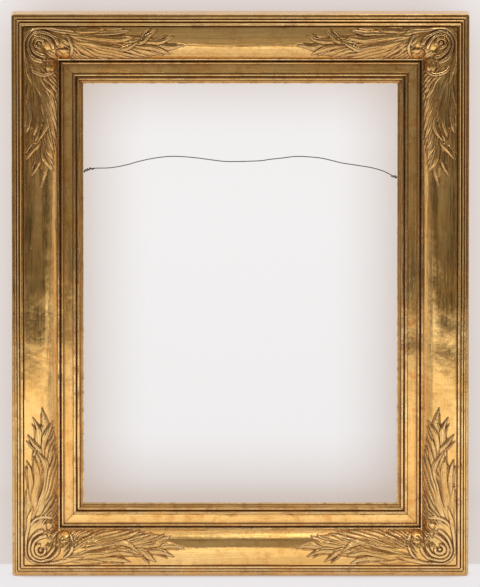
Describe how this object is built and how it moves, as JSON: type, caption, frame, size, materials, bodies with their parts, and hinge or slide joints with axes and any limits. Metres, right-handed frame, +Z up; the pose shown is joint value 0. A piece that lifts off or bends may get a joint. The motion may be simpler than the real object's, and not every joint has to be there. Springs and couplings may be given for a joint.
{
  "type": "picture frame",
  "caption": "Upright gilded picture frame: crowned panel sloping inward, carved scroll and leaf corners, reeded edge, stepped liner and a hanging wire behind.",
  "frame": {"origin": "middle of the flat bottom side that the frame stands on, halfway between its foremost relief and the back of its screw eyes", "axes": "+Z up along the frame's height, +X to the viewer's right along its width, and the face looks toward -Y"},
  "size_m": [0.6472, 0.0634, 0.8042],
  "materials": {
    "rail_gold": "gilded: burnished gold leaf over red clay and gesso, worn on the arrises, bare wood at the back",
    "carved_gold": "gilded: burnished gold leaf with brown tone in the cuts",
    "liner_gold": "gilded: deeper toned gold leaf, semi matt",
    "key_wood": "bare, aged",
    "brad_steel": "dull bright drawn steel",
    "eye_steel": "dull plated wire",
    "wire_steel": "stranded, dull grey"
  },
  "bodies": {
    "frame": {"rail_top": "rail_gold", "rail_bottom": "rail_gold", "rail_left": "rail_gold", "rail_right": "rail_gold", "liner_top": "liner_gold", "liner_bottom": "liner_gold", "liner_left": "liner_gold", "liner_right": "liner_gold", "corner_key_tl": "key_wood", "corner_key_tr": "key_wood", "corner_key_bl": "key_wood", "corner_key_br": "key_wood", "scroll_tl": "carved_gold", "scroll_tr": "carved_gold", "scroll_bl": "carved_gold", "scroll_br": "carved_gold", "spray_tl_top": "carved_gold", "spray_tl_side": "carved_gold", "spray_tr_top": "carved_gold", "spray_tr_side": "carved_gold", "spray_bl_bottom": "carved_gold", "spray_bl_side": "carved_gold", "spray_br_bottom": "carved_gold", "spray_br_side": "carved_gold", "liner_brads": "brad_steel", "screw_eye_left": "eye_steel", "screw_eye_right": "eye_steel"},
    "wire": {"hanging_wire": "wire_steel", "wire_wrap_left": "wire_steel", "wire_wrap_right": "wire_steel"}
  },
  "joints": [
    {"name": "wire_swing", "type": "hinge", "parent": "frame", "child": "wire", "pos_m": [0, 0.02542, 0.545], "axis": [-1, 0, 0], "range_deg": [-5, 180]}
  ]
}
